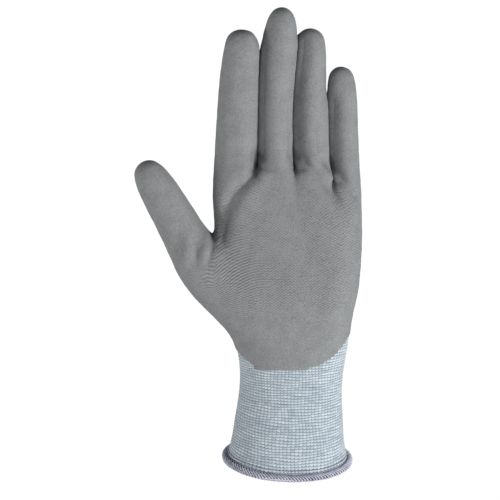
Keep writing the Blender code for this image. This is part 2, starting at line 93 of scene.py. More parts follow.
# Stations from root to tip as (x, y, z, width, depth); fold heights on the centre line
DIGITS = {
    "index": (
        [
            (-26.2, -2.6, 159.0, 20.2, 18.4),
            (-25.6, -2.7, 179.0, 19.3, 17.6),
            (-24.7, -3.2, 197.0, 18.2, 16.6),
            (-23.5, -4.0, 212.0, 16.6, 15.2),
            (-22.7, -4.6, 220.4, 14.2, 12.8),
            (-22.4, -4.8, 223.9, 0.0, 0.0),
        ],
        [160.5, 179.5, 201.5],
    ),
    "middle": (
        [
            (-6.4, -1.6, 159.0, 16.3, 18.0),
            (-6.6, -1.6, 180.0, 15.9, 17.8),
            (-5.6, -2.0, 201.0, 16.7, 17.0),
            (-4.1, -2.6, 216.0, 17.0, 16.2),
            (-2.9, -3.1, 225.8, 14.4, 13.8),
            (-2.7, -3.4, 231.8, 9.6, 9.6),
            (-2.7, -3.5, 234.8, 0.0, 0.0),
        ],
        [160.5, 183.0, 208.5],
    ),
    "ring": (
        [
            (11.8, 1.2, 158.0, 17.0, 17.4),
            (11.3, 1.4, 175.0, 17.3, 17.0),
            (11.2, 1.4, 190.0, 16.2, 16.4),
            (11.5, 0.8, 206.0, 15.4, 15.2),
            (11.6, 0.4, 219.4, 14.8, 13.2),
            (11.9, 0.2, 225.0, 0.0, 0.0),
        ],
        [159.0, 180.0, 202.0],
    ),
    "little": (
        [
            (29.4, 3.2, 152.0, 14.2, 14.9),
            (28.5, 3.4, 166.0, 14.6, 14.5),
            (28.2, 3.4, 180.0, 14.4, 13.9),
            (27.7, 3.0, 192.5, 13.9, 12.9),
            (27.2, 2.6, 200.6, 10.8, 10.0),
            (27.1, 2.5, 203.7, 0.0, 0.0),
        ],
        [153.5, 169.0, 185.0],
    ),
    "thumb": (
        [
            (-50.2, -4.6, 112.5, 22.4, 20.4),
            (-56.0, -5.4, 123.5, 20.6, 19.4),
            (-62.0, -6.6, 134.5, 19.4, 18.4),
            (-68.2, -7.8, 145.6, 17.6, 16.4),
            (-72.6, -8.6, 153.2, 12.4, 11.8),
            (-74.6, -9.0, 156.8, 0.0, 0.0),
        ],
        [117.5, 134.0],
    ),
}
FINGERS = ["index", "middle", "ring", "little"]
THUMB = 5
# How far round a palm row's section its outermost columns go, and how far across they stand
ROUND_REACH = 0.93
COLUMN_REACH = 0.475
# Rounding draws the sides in, so the cage stands this far proud of them
SIDE_PROUD = 0.8
FINGER_SIDE_PROUD = 1.4
# A closed cubic spline through eight points on a circle runs inside them by this share
RING_8 = 3.0 / (2.0 + math.cos(math.tau / 8.0))


def hem_slant(x, y):
    return y * math.tan(HEM_TILT) - x * math.tan(HEM_ROLL)


def palm_ring(bm, row):
    """One row of the palm as a closed ring: palm side, right, back, left."""
    (left_x, left_z), (right_x, right_z), front, back, squareness = PALM_ROWS[row]
    middle_y = (front + back) / 2
    palm_side, back_side = [], []
    for x, *_ in FINGER_ROW:
        share = (x - FINGER_ROW[0][0]) / (FINGER_ROW[-1][0] - FINGER_ROW[0][0])
        across = 2 * share - 1
        height = left_z + (right_z - left_z) * share
        round_share = (1 - abs(ROUND_REACH * across) ** squareness) ** (1 / squareness)
        place = left_x + (right_x - left_x) * (0.5 + COLUMN_REACH * across)
        palm_side.append(Vector((place, middle_y + (front - middle_y) * round_share, height)))
        back_side.append(Vector((place, middle_y + (back - middle_y) * round_share, height)))
    left = Vector((left_x - SIDE_PROUD, middle_y, left_z))
    right = Vector((right_x + SIDE_PROUD, middle_y, right_z))
    if row in THUMB_ROOT:
        thumb_front, thumb_outer, thumb_back = THUMB_ROOT[row]
        palm_side[0], back_side[0] = Vector(thumb_front), Vector(thumb_back)
        left = Vector(thumb_outer) if thumb_outer else None
    points = palm_side + [right] + back_side[::-1] + [left]
    for point in points:
        if point:
            point.z += SLANTED_ROWS.get(row, 0.0) * hem_slant(point.x, point.y)
    return [bm.verts.new(point * MM) if point else None for point in points]


def digit_frame(name):
    """A digit's direction, the direction of its back, and the one across it."""
    stations = DIGITS[name][0]
    along = (Vector(stations[-1][:3]) - Vector(stations[0][:3])).normalized()
    back = Vector((0.0, 1.0, 0.0))
    back = (back - back.dot(along) * along).normalized()
    return along, back, back.cross(along)


def bridge(bm, lower, upper, number, digit_tag):
    for step in range(len(lower)):
        after = (step + 1) % len(lower)
        corners = [lower[step], lower[after], upper[after], upper[step]]
        if None not in corners:
            bm.faces.new(corners)[digit_tag] = number


def grow_digit(bm, name, ring, number, digit_tag):
    """Skins a digit from its root ring through its stations, and closes the tip."""
    stations = DIGITS[name][0]
    _, back, side = digit_frame(name)
    for x, y, z, width, depth in stations[:-1]:
        upper = []
        for step in range(8):
            angle = math.tau * (step - 1) / 8
            sideways = math.sin(angle) * width / 2 * RING_8
            palmwards = math.cos(angle) * depth / 2 * RING_8
            upper.append(bm.verts.new((Vector((x, y, z)) + side * sideways - back * palmwards) * MM))
        bridge(bm, ring, upper, number, digit_tag)
        ring = upper
    tip = bm.verts.new(Vector(stations[-1][:3]) * MM)
    for step in (0, 2, 4, 6):
        bm.faces.new([ring[step - 1], ring[step], ring[step + 1], tip])[digit_tag] = number


def make_cage():
    """The whole glove as one coarse cage, open at the wrist."""
    bm = bmesh.new()
    digit_tag = bm.faces.layers.int.new("digit")
    front = [bm.verts.new(Vector((x, y, z)) * MM) for x, z, y, _ in FINGER_ROW]
    back = [bm.verts.new(Vector((x, y, z)) * MM) for x, z, _, y in FINGER_ROW]
    middles = {}
    for column, (x, z, near, far) in enumerate(FINGER_ROW):
        outward = {0: -FINGER_SIDE_PROUD, COLUMNS - 1: FINGER_SIDE_PROUD}.get(column, 0.0)
        if column % 3 != 1:
            middles[column] = bm.verts.new(Vector((x + outward, (near + far) / 2, z)) * MM)
    upper = front + [middles[COLUMNS - 1]] + back[::-1] + [middles[0]]
    rings = {}
    for row in PALM_ROWS:
        rings[row] = palm_ring(bm, row)
        bridge(bm, rings[row], upper, 0, digit_tag)
        upper = rings[row]
    for column in (2, 5, 8):
        for near, far in ((front, middles), (middles, back)):
            corners = [near[column], near[column + 1], far[column + 1], far[column]]
            bm.faces.new(corners)[digit_tag] = 0
    for number, name in enumerate(FINGERS, start=1):
        a, b, c = (3 * (number - 1) + offset for offset in range(3))
        root = [front[a], front[b], front[c], middles[c], back[c], back[b], back[a], middles[a]]
        grow_digit(bm, name, root, number, digit_tag)
    low, mid, top = (rings[row] for row in ("thumb_bottom", "thumb_middle", "thumb_top"))
    root = [low[0], mid[0], top[0], top[-1], top[-2], mid[-2], low[-2], low[-1]]
    grow_digit(bm, "thumb", root, THUMB, digit_tag)
    bmesh.ops.recalc_face_normals(bm, faces=bm.faces[:])
    mesh = bpy.data.meshes.new("glove_cage")
    bm.to_mesh(mesh)
    bm.free()
    return mesh


def select_only(obj):
    bpy.ops.object.select_all(action="DESELECT")
    obj.select_set(True)
    bpy.context.view_layer.objects.active = obj


def apply_modifier(obj, name, kind, **settings):
    select_only(obj)
    modifier = obj.modifiers.new(name, kind)
    for setting, value in settings.items():
        setattr(modifier, setting, value)
    bpy.ops.object.modifier_apply(modifier=name)


def rounded_form(levels):
    form = bpy.data.objects.new(f"form_{levels}", make_cage())
    bpy.context.scene.collection.objects.link(form)
    apply_modifier(form, "rounding", "SUBSURF", levels=levels, render_levels=levels)
    return form


# Folds and swellings of the filled glove, as the hand inside and the stiff coating make them.
# Each is a line over the palm side of points (x, z, depth, half width); a negative depth swells.
FOLDS = [
    [
        (-15.4, 158.0, 1.4, 2.4),
        (-17.6, 149.8, 2.4, 2.6),
        (-21.4, 145.0, 2.6, 2.6),
        (-26.2, 140.4, 2.5, 2.9),
        (-29.6, 133.6, 2.9, 3.3),
        (-32.8, 125.6, 4.2, 4.6),
        (-33.6, 118.6, 3.8, 4.6),
        (-30.6, 112.0, 0.8, 4.6),
    ],
    [(-28.0, 149.0, -0.2, 3.0), (-32.0, 140.0, -0.8, 3.2), (-34.6, 130.0, -0.4, 3.0)],
    [(-11.6, 149.0, -0.6, 3.0), (-18.6, 139.6, -1.1, 4.0), (-23.0, 130.0, -0.6, 4.5)],
    [
        (-15.8, 159.5, 0.8, 3.4),
        (-11.8, 158.6, 0.9, 3.4),
        (-7.6, 157.8, 0.5, 3.2),
        (-4.0, 157.4, 0.0, 3.0),
    ],
    [(2.2, 159.4, 1.5, 3.2), (5.6, 157.6, 1.3, 3.2), (9.2, 155.4, 0.8, 2.6)],
    [
        (20.2, 154.6, 1.5, 3.0),
        (23.0, 152.0, 1.3, 2.8),
        (26.4, 148.8, 1.0, 2.2),
        (34.5, 137.5, 0.9, 1.5),
    ],
    [
        (9.2, 155.4, 0.8, 1.8),
        (16.4, 147.4, 1.5, 2.0),
        (23.0, 139.8, 1.3, 2.4),
        (28.6, 131.6, 0.5, 3.2),
    ],
    [
        (13.4, 157.0, -0.4, 2.4),
        (20.6, 147.6, -1.1, 2.0),
        (27.4, 139.2, -0.9, 2.0),
        (32.6, 129.5, -0.3, 2.6),
    ],
    [
        (3.0, 144.0, 0.4, 5.0),
        (5.0, 130.0, 1.2, 7.0),
        (10.5, 108.0, 1.2, 7.0),
        (17.0, 90.0, 0.5, 7.0),
    ],
    [(-51.2, 119.0, -0.5, 2.4), (-50.8, 111.0, -1.4, 2.2), (-51.4, 103.0, -0.3, 2.2)],
    [(-46.8, 114.0, 0.3, 1.8), (-46.2, 108.0, 1.1, 2.0), (-46.0, 102.0, 0.2, 2.0)],
    [(-41.8, 116.4, -0.8, 2.0), (-42.0, 110.0, -1.2, 1.9), (-43.6, 103.0, -0.3, 2.2)],
    [(-38.2, 112.4, 0.7, 1.6), (-40.2, 104.5, 0.4, 1.8)],
    [(-56.4, 119.4, 0.4, 2.4), (-57.0, 111.0, 1.2, 2.6), (-57.4, 104.0, 0.2, 2.4)],
    [(26.0, 108.0, -0.4, 9.0), (28.0, 88.0, -1.2, 10.0), (22.0, 74.0, -0.6, 9.0)],
    [(-31.0, 98.0, -1.0, 10.0), (-27.0, 80.0, -1.3, 10.0), (-14.0, 66.0, -0.6, 9.0)],
]


def press_of(x, z, line):
    """How deep a fold's line presses at each point, from the nearest place on the line."""
    nearest, press = np.full(len(x), 1e9), np.zeros(len(x))
    for (ax, az, a_depth, a_width), (bx, bz, b_depth, b_width) in zip(line[:-1], line[1:]):
        dx, dz = bx - ax, bz - az
        share = np.clip(((x - ax) * dx + (z - az) * dz) / (dx * dx + dz * dz), 0, 1)
        away = np.hypot(x - ax - share * dx, z - az - share * dz)
        width = a_width + (b_width - a_width) * share
        depth = a_depth + (b_depth - a_depth) * share
        press = np.where(away < nearest, depth * np.exp(-((away / width) ** 2)), press)
        nearest = np.minimum(nearest, away)
    return press


def smooth_step(low, high, value):
    t = np.clip((value - low) / (high - low), 0, 1)
    return t * t * (3 - 2 * t)


def vertex_arrays(mesh):
    """Places and normals of a mesh, in millimetres."""
    count = len(mesh.vertices)
    places, normals = np.empty(count * 3), np.empty(count * 3)
    mesh.vertices.foreach_get("co", places)
    mesh.vertices.foreach_get("normal", normals)
    return places.reshape(-1, 3) / MM, normals.reshape(-1, 3)


def set_places(mesh, places):
    mesh.vertices.foreach_set("co", (places * MM).ravel())
    mesh.update()


# How far the cloth's own waves rise and sink
UNEVENNESS = 0.07


def undulation(places):
    """Slight unevenness of cloth that is filled out by hand, in millimetres."""
    x, y, z = places.T
    waves = np.sin(0.55 * x + 0.21 * z + 0.4 * np.sin(0.17 * z)) * np.cos(0.47 * z - 0.3 * x)
    waves += 0.6 * np.sin(0.95 * x - 0.62 * z + 1.3) * np.sin(0.71 * z + 0.83 * y + 0.5)
    return UNEVENNESS * waves


# Neighbouring fingers lie against each other. Each contact is a face that leans back to the left,
# at depth y, from the crotch up to where the two part, and at x on these heights (z, x).
CONTACTS = [
    (
        -2.0,
        150.0,
        214.0,
        [(150, -15.4), (182, -15.5), (200, -15.2), (214, -14.6)],
    ),
    (
        -0.5,
        149.0,
        214.0,
        [(150, 3.4), (159, 2.9), (172, 1.9), (185, 2.0), (198, 3.2), (212, 4.7), (222, 5.4)],
    ),
    (
        2.2,
        141.5,
        183.0,
        [(144, 22.6), (153, 21.0), (163, 20.4), (176, 20.6), (194, 20.4)],
    ),
]
CONTACT_LEAN = 0.25
CONTACT_GAP = 0.12
CONTACT_REACH = 2.6
CONTACT_FLAT = 0.3
CROTCH_EASE = 3.0
PARTING_EASE = 9.0
# The left finger of a pair rests over the right one: how far back each goes, over what width
RESTING_OVER = (-0.8, 5.0)
TUCKED_UNDER = (1.6, 8.5)


def press_fingers(places, digits):
    """Flattens neighbouring fingers against each other, in place."""
    for left_digit, (depth, crotch, parting, line) in enumerate(CONTACTS, start=1):
        x, y, z = places.T
        heights, middles = zip(*line)
        contact = np.interp(z, heights, middles) - CONTACT_LEAN * (y - depth)
        for digit, side in ((left_digit, -1), (left_digit + 1, 1)):
            away = side * (x - contact)
            free = smooth_step(CONTACT_FLAT, CONTACT_REACH, away)
            moved = CONTACT_GAP + np.maximum(away, 0) * free
            own = smooth_step(crotch, crotch + CROTCH_EASE, z) * (digits == digit)
            own = own * (1 - smooth_step(parting, parting + PARTING_EASE, z))
            x += side * own * (away < CONTACT_REACH) * (moved - away)
            shift, reach = RESTING_OVER if side < 0 else TUCKED_UNDER
            y += own * shift * (1 - smooth_step(0.0, reach, away))


def digits_of_vertices(mesh):
    faces = np.empty(len(mesh.polygons), int)
    mesh.attributes["digit"].data.foreach_get("value", faces)
    totals, corners = np.empty(len(faces), int), np.empty(len(mesh.loops), int)
    mesh.polygons.foreach_get("loop_total", totals)
    mesh.loops.foreach_get("vertex_index", corners)
    digits = np.zeros(len(mesh.vertices), int)
    np.maximum.at(digits, corners, np.repeat(faces, totals))
    return digits


def shape_form(form):
    """Presses the folds in and the fingers together. Keeps the bare form's normals."""
    places, normals = vertex_arrays(form.data)
    facing = smooth_step(-0.15, 0.45, -normals[:, 1])
    press = sum(press_of(places[:, 0], places[:, 2], line) for line in FOLDS)
    lift = -press * facing + undulation(places) * smooth_step(30.0, 60.0, places[:, 2])
    places += normals * lift[:, None]
    press_fingers(places, digits_of_vertices(form.data))
    set_places(form.data, places)
    attribute = form.data.attributes.new("bare_normal", "FLOAT_VECTOR", "POINT")
    attribute.data.foreach_set("vector", normals.astype(np.float32).ravel())


def keep_normals(mesh):
    """Notes the whole form's smooth normals, so that shading runs on across the divisions."""
    _, normals = vertex_arrays(mesh)
    attribute = mesh.attributes.new("whole_normal", "FLOAT_VECTOR", "POINT")
    attribute.data.foreach_set("vector", normals.astype(np.float32).ravel())


def shade_as_whole(mesh):
    """Gives a piece the whole form's normals on both its faces; its cut rims stay flat."""
    count = len(mesh.loops)
    corners, totals = np.empty(count, int), np.empty(len(mesh.polygons), int)
    mesh.loops.foreach_get("vertex_index", corners)
    mesh.polygons.foreach_get("loop_total", totals)
    flat = np.empty(len(mesh.polygons) * 3)
    mesh.polygons.foreach_get("normal", flat)
    flat = np.repeat(flat.reshape(-1, 3), totals, axis=0)
    whole = np.empty(len(mesh.vertices) * 3, np.float32)
    mesh.attributes["whole_normal"].data.foreach_get("vector", whole)
    whole = whole.reshape(-1, 3)[corners]
    along = (flat * whole).sum(1)[:, None]
    mesh.shade_smooth()
    mesh.normals_split_custom_set(np.where(along > 0.3, whole, np.where(along < -0.3, -whole, flat)))


# How the glove is divided: a piece for the palm, and one for each length of a digit. Pieces meet
# halfway between folds, where each is stiff, so that no seam opens.
WRIST_JOIN = 64.0
# How far a bend reaches below and above its fold
REACH = {"thumb": (6.0, 8.0)}
FINGER_REACH = (7.0, 7.0)
ROOT_MARGIN = 0.5
LENGTHS = {name: ["proximal", "middle", "distal"] for name in FINGERS}
LENGTHS["thumb"] = ["proximal", "distal"]


def fold_place(name, height):
    stations = DIGITS[name][0]
    for low, high in zip(stations[:-1], stations[1:]):
        if height <= high[2]:
            break
    return Vector(low[:3]).lerp(Vector(high[:3]), (height - low[2]) / (high[2] - low[2]))


def dividing_planes(name):
    """Distances along a digit at which its pieces part, the first one where it leaves the palm."""
    along = digit_frame(name)[0]
    folds = [fold_place(name, height).dot(along) for height in DIGITS[name][1]]
    first = folds[0] - REACH.get(name, FINGER_REACH)[0] - ROOT_MARGIN
    return [first] + [(low + high) / 2 for low, high in zip(folds[:-1], folds[1:])]


def divide(form):
    """Cuts a form where its pieces part, and gives each face the number of its piece."""
    bm = bmesh.new()
    bm.from_mesh(form.data)
    digit = bm.faces.layers.int["digit"]
    piece = bm.faces.layers.int.new("piece")

    def cut(number, point, normal):
        faces = [f for f in bm.faces if f[digit] == number]
        edges = {e for f in faces for e in f.edges}
        verts = {v for f in faces for v in f.verts}
        geometry = faces + list(edges) + list(verts)
        bmesh.ops.bisect_plane(bm, geom=geometry, plane_co=point, plane_no=normal, dist=2e-6)

    cut(0, Vector((0, 0, WRIST_JOIN * MM)), Vector((0, 0, 1)))
    names = ["wrist", "palm"]
    for face in bm.faces:
        if face[digit] == 0:
            face[piece] = int(face.calc_center_median().z > WRIST_JOIN * MM)
    for number, name in enumerate([*FINGERS, "thumb"], start=1):
        along = digit_frame(name)[0]
        planes = dividing_planes(name)
        for distance in planes:
            cut(number, along * distance * MM, along)
        for face in bm.faces:
            if face[digit] == number:
                place = face.calc_center_median().dot(along) / MM
                passed = sum(place > plane for plane in planes)
                face[piece] = len(names) + passed - 1 if passed else 1
        names += [f"{name}_{length}" for length in LENGTHS[name]]
    bm.to_mesh(form.data)
    bm.free()
    return names


def part_of(form, numbers, name, keep=None):
    """A new object with only the faces of these pieces, and of those that keep picks."""
    bm = bmesh.new()
    bm.from_mesh(form.data)
    piece = bm.faces.layers.int["piece"]
    unwanted = [f for f in bm.faces if f[piece] not in numbers or (keep and not keep[f.index])]
    bmesh.ops.delete(bm, geom=unwanted, context="FACES")
    mesh = bpy.data.meshes.new(name)
    bm.to_mesh(mesh)
    bm.free()
    obj = bpy.data.objects.new(name, mesh)
    bpy.context.scene.collection.objects.link(obj)
    return obj


def attach(obj, part, kind):
    """Puts a palm piece of liner or coating on the palm's body and bakes any other piece's place
    into its mesh; hides the model's parts that the piece stands for.
    """
    if part == "palm":
        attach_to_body(obj, "palm")
        nodes = ["palm_coating"] if kind == "coating" else ["palm_lower_liner", "palm_upper_liner"]
        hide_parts(*nodes)
        return
    name, length = part.split("_")
    order = LENGTHS[name].index(length)
    below, above = REACH.get(name, FINGER_REACH)
    if order:
        below = above
    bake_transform(obj)
    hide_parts(f"{part}_{kind}")


# Stitch counts: a 13-gauge glove of this size has about 80 wales round the wrist and the palm, 28
# round a finger, and a course every 1.35 mm. The UV map counts stitches: u wales, v courses.
WRIST_WALES = 80
FINGER_WALES = 28
COURSE = 1.35
WRIST_CENTRE = (2.2, -0.5)
WRIST_HALF = (27.5, 19.5)
ELLIPSE_ANGLES = np.linspace(-math.pi, math.pi, 2001)
ellipse_x = WRIST_HALF[0] * np.cos(ELLIPSE_ANGLES)
ellipse_y = WRIST_HALF[1] * np.sin(ELLIPSE_ANGLES)
ellipse_steps = np.hypot(np.diff(ellipse_x), np.diff(ellipse_y))
ELLIPSE_LENGTHS = np.concatenate([[0], np.cumsum(ellipse_steps)])
ELLIPSE_LENGTHS *= WRIST_WALES / ELLIPSE_LENGTHS[-1]


def wale_round_wrist(x, y):
    forward, sideways = (y - WRIST_CENTRE[1]) / WRIST_HALF[1], (x - WRIST_CENTRE[0]) / WRIST_HALF[0]
    return np.interp(np.arctan2(forward, sideways), ELLIPSE_ANGLES, ELLIPSE_LENGTHS)


def map_stitches(mesh):
    """Counts wales and courses over a mesh. The courses of the palm turn towards the thumb."""
    places, _ = vertex_arrays(mesh)
    x, y, z = places.T
    turned = smooth_step(72.0, 96.0, z) * smooth_step(-8.0, -20.0, x)
    towards_thumb = 75.0 + np.hypot(np.clip(-11.0 - x, 0, 26.0), np.maximum(z - 75.0, 0))
    palm_rows = (z * (1 - turned) + towards_thumb * turned) / COURSE
    maps = [(wale_round_wrist(x, y), palm_rows, WRIST_WALES)]
    for name in [*FINGERS, "thumb"]:
        along, back, side = (np.array(v) for v in digit_frame(name))
        offset = places - np.array(DIGITS[name][0][2][:3])
        angle = np.arctan2(offset @ side, -(offset @ back))
        maps.append((angle / math.tau * FINGER_WALES, places @ along / COURSE, FINGER_WALES))
    digits = np.empty(len(mesh.polygons), int)
    mesh.attributes["digit"].data.foreach_get("value", digits)
    starts, totals = np.empty(len(digits), int), np.empty(len(digits), int)
    mesh.polygons.foreach_get("loop_start", starts)
    mesh.polygons.foreach_get("loop_total", totals)
    corners = np.empty(len(mesh.loops), int)
    mesh.loops.foreach_get("vertex_index", corners)
    face_of = np.repeat(np.arange(len(digits)), totals)
    us = np.stack([m[0] for m in maps])
    vs = np.stack([m[1] for m in maps])
    rounds = np.array([m[2] for m in maps])[digits]
    u, v = us[digits[face_of], corners], vs[digits[face_of], corners]
    highest = np.maximum.reduceat(u, starts)
    wraps = (highest - np.minimum.reduceat(u, starts)) > rounds / 2
    behind = wraps[face_of] & (u < highest[face_of] - rounds[face_of] / 2)
    u = u + behind * rounds[face_of]
    layer = mesh.uv_layers.new(name="stitches")
    layer.data.foreach_set("uv", np.stack([u, v], 1).astype(np.float32).ravel())


# Knitting yarn: a jersey of cut resistant polyethylene yarn, pale blue-grey and white mixed.
# Knitted loops, matt and slightly fuzzy: light loops with painted shade in the gaps between them,
# and whole stitches that change shade along the row because the two yarns twist round each other.
def linear(hex_colour):
    channels = [int(hex_colour[i : i + 2], 16) / 255 for i in (1, 3, 5)]
    channels = [c / 12.92 if c <= 0.04045 else ((c + 0.055) / 1.055) ** 2.4 for c in channels]
    return (*channels, 1.0)


def add_node(tree, kind, *values, **named):
    """Adds a node. Values go to its inputs in order, and a name is one of its settings or inputs.

    An input takes a value, an output, or a node, which is linked from its first output.
    """
    node = tree.nodes.new(kind)
    sockets = list(zip(node.inputs, values))
    for name, value in named.items():
        if hasattr(node, name):
            setattr(node, name, value)
        else:
            sockets.append((node.inputs[name.replace("_", " ")], value))
    for socket, value in sockets:
        if isinstance(value, bpy.types.Node):
            value = value.outputs[0]
        if isinstance(value, bpy.types.NodeSocket):
            tree.links.new(value, socket)
        else:
            socket.default_value = value
    return node


def new_material(name, **shader_inputs):
    material = bpy.data.materials.new(name)
    material.use_nodes = True
    shader = material.node_tree.nodes["Principled BSDF"]
    for key, value in shader_inputs.items():
        shader.inputs[key.replace("_", " ")].default_value = value
    return material, material.node_tree, shader


def arches(tree, count, each=1):
    """Rises from 0 to 1 and falls again, so many times for each whole stitch of a count."""
    turn = add_node(tree, "ShaderNodeMath", count, math.pi * each, operation="MULTIPLY")
    wave = add_node(tree, "ShaderNodeMath", turn, operation="SINE")
    return add_node(tree, "ShaderNodeMath", wave, operation="ABSOLUTE")


# How a loop is shaped, in the yarn's material and in the loops that are modelled
LOOP_SLANT = 0.2
LOOP_FULLNESS = 0.6


def stitch_height(tree, u, v):
    """0 in the gaps between loops to 1 on their crowns, from the stitch count."""
    across = arches(tree, u)
    slant = add_node(tree, "ShaderNodeMath", across, LOOP_SLANT, v, operation="MULTIPLY_ADD")
    up = add_node(tree, "ShaderNodeMath", arches(tree, slant), LOOP_FULLNESS, operation="POWER")
    rounded = add_node(tree, "ShaderNodeMath", across, 0.5, operation="POWER")
    crown = add_node(tree, "ShaderNodeMath", rounded, 0.6, 0.4, operation="MULTIPLY_ADD")
    return add_node(tree, "ShaderNodeMath", crown, up, operation="MULTIPLY")


def knit_material():
    material, tree, shader = new_material(
        "mixed_yarn_jersey", Roughness=0.85, Sheen_Weight=0.25, Sheen_Roughness=0.5
    )
    stitches = add_node(tree, "ShaderNodeUVMap", uv_map="stitches")
    split = add_node(tree, "ShaderNodeSeparateXYZ", stitches)
    u, v = split.outputs[0], split.outputs[1]
    height = stitch_height(tree, u, v)
    # Each stitch has its own shade, and runs of about five stitches along a row are alike
    wale = add_node(tree, "ShaderNodeMath", u, operation="FLOOR")
    course = add_node(tree, "ShaderNodeMath", v, operation="FLOOR")
    stitch = add_node(tree, "ShaderNodeCombineXYZ", wale, course)
    own = add_node(tree, "ShaderNodeTexWhiteNoise", noise_dimensions="2D", Vector=stitch)
    along = add_node(tree, "ShaderNodeMath", wale, 0.21, operation="MULTIPLY")
    apart = add_node(tree, "ShaderNodeMath", course, 5.3, operation="MULTIPLY")
    run = add_node(tree, "ShaderNodeCombineXYZ", along, apart)
    streak = add_node(tree, "ShaderNodeTexNoise", Vector=run, Scale=1.0, Detail=2.0)
    shade = add_node(tree, "ShaderNodeMath", own, 0.25, streak, operation="MULTIPLY_ADD")
    yarn = add_node(tree, "ShaderNodeValToRGB", shade)
    yarn.color_ramp.elements[0].position = 0.30
    yarn.color_ramp.elements[0].color = linear("#96a4ad")
    yarn.color_ramp.elements[1].position = 0.95
    yarn.color_ramp.elements[1].color = linear("#c9d1d6")
    # Painted shade: the colour goes dark towards #566778 in the gaps between loops, following the
    # loops' height.
    painted_gap_shade = add_node(tree, "ShaderNodeMapRange", Value=height, From_Min=0.1, From_Max=0.8)
    mix = add_node(tree, "ShaderNodeMix", data_type="RGBA", Factor=painted_gap_shade)
    mix.inputs[6].default_value = linear("#566778")
    tree.links.new(yarn.outputs[0], mix.inputs[7])
    tree.links.new(mix.outputs[2], shader.inputs["Base Color"])
    bump = add_node(tree, "ShaderNodeBump", Strength=0.5, Distance=0.3 * MM, Height=height)
    tree.links.new(bump.outputs[0], shader.inputs["Normal"])
    return material


# Liner of palm, fingers and thumb: the seamless knitting under the coating, bare on the back.
# One thickness of jersey, 0.9 mm, knitted as tubes; every length is a piece of its own.
LINER_WALL = 0.9
jersey = knit_material()
liner_form = rounded_form(3)
shape_form(liner_form)
piece_names = divide(liner_form)
map_stitches(liner_form.data)
keep_normals(liner_form.data)
WALL_INWARDS = {"offset": -1.0, "use_even_offset": False}
for number, part in enumerate(piece_names):
    if part == "wrist":
        continue
    liner = part_of(liner_form, [number], f"{part}_knit")
    apply_modifier(liner, "wall", "SOLIDIFY", thickness=LINER_WALL * MM, **WALL_INWARDS)
    shade_as_whole(liner.data)
    liner.data.materials.append(jersey)
    attach(liner, part, "liner")
bpy.data.objects.remove(liner_form)

# Coating: polyurethane, dipped on the palm side while the liner is stretched on a hand former.
# A thin film half a millimetre proud of the liner, soaked into the loops so that they show through.
# It wraps a little past the sides, goes right round the fingertips, and sinks in at its edge.
COATING_PROUD = 0.55
COATING_WALL = 0.35
EDGE_SUNK = 0.4
EDGE_HALF_WIDTH = 0.45
KEPT_PAST_EDGE = 1.0
WRAP_ANGLE = math.radians(30.0)
THUMB_WRAP_ANGLE = math.radians(44.0)
# Radius that turns an angle round the glove into a length over it
ROUNDING_RADIUS = 9.0
# Heights above which the coating goes right round each digit
FULL_DIP = {"index": 205.0, "middle": 213.0, "ring": 206.0, "little": 188.0, "thumb": 139.0}
# The dip line across the wrist, as x and z
DIP_LINE = [
    (-27.0, 57.4),
    (-23.0, 54.0),
    (-18.4, 51.0),
    (-15.8, 48.9),
    (10.4, 48.9),
    (12.0, 50.4),
    (17.1, 51.3),
    (21.9, 54.1),
    (26.8, 58.1),
    (30.8, 62.8),
    (32.4, 65.5),
]
WALE_AT_WRIST = 1.95


def coated_by(places, normals, digits):
    """How far inside the coating's edge a point lies, in millimetres; negative outside."""
    x, y, z = places.T
    past_side = np.arcsin(np.clip(normals[:, 1], -1, 1))
    wrap = np.where(digits == THUMB, THUMB_WRAP_ANGLE, WRAP_ANGLE)
    inside = (wrap - past_side) * ROUNDING_RADIUS
    line_x, line_z = zip(*DIP_LINE)
    stitch_x = WALE_AT_WRIST * np.round(x / WALE_AT_WRIST)
    stepped = COURSE / 2 * np.round(np.interp(stitch_x, line_x, line_z) / COURSE * 2)
    line = (stepped + np.interp(x, line_x, line_z)) / 2
    line += ROUNDING_RADIUS * np.clip(past_side, 0, 1)
    inside = np.minimum(inside, z - line)
    for number, name in enumerate([*FINGERS, "thumb"], start=1):
        wavering = 0.7 * np.sin(0.9 * x + number) + 0.3 * np.sin(2.9 * x)
        tip = np.maximum(inside, z - FULL_DIP[name] - wavering)
        inside = np.where(digits == number, tip, inside)
    return inside


def rows_show(mesh):
    """Where the knitting presses through: rows at the thumb's side, a fine mesh over the palm."""
    places, _ = vertex_arrays(mesh)
    x, _, z = places.T
    strong = np.exp(-(((x + 26.0) / 13.0) ** 2) - ((z - 99.0) / 17.0) ** 2)
    weak = 0.14 * np.exp(-(((x - 2.0) / 24.0) ** 2) - ((z - 96.0) / 16.0) ** 2)
    palm = digits_of_vertices(mesh) == 0
    rows = np.where(palm, np.clip(np.maximum(strong, weak), 0, 1), 0.02)
    mesh_share = 0.4 + 0.6 * smooth_step(74.0, 90.0, z) * (1 - smooth_step(128.0, 150.0, z))
    meshed = np.where(palm, mesh_share * (1 - 0.8 * strong), 0.2)
    for name, value in (("rows_show", rows), ("mesh_shows", meshed)):
        attribute = mesh.attributes.new(name, "FLOAT", "POINT")
        attribute.data.foreach_set("value", value.astype(np.float32))


# How many to a millimetre: the film's grain is 0.8 mm, coarser than the real one, so that it
# shows. Its lighter and darker patches are 7 mm, and the loops are uneven over 1.4 mm.
FILM_GRAIN = 1.3
FILM_PATCHES = 0.14
LOOP_UNEVENNESS = 0.7


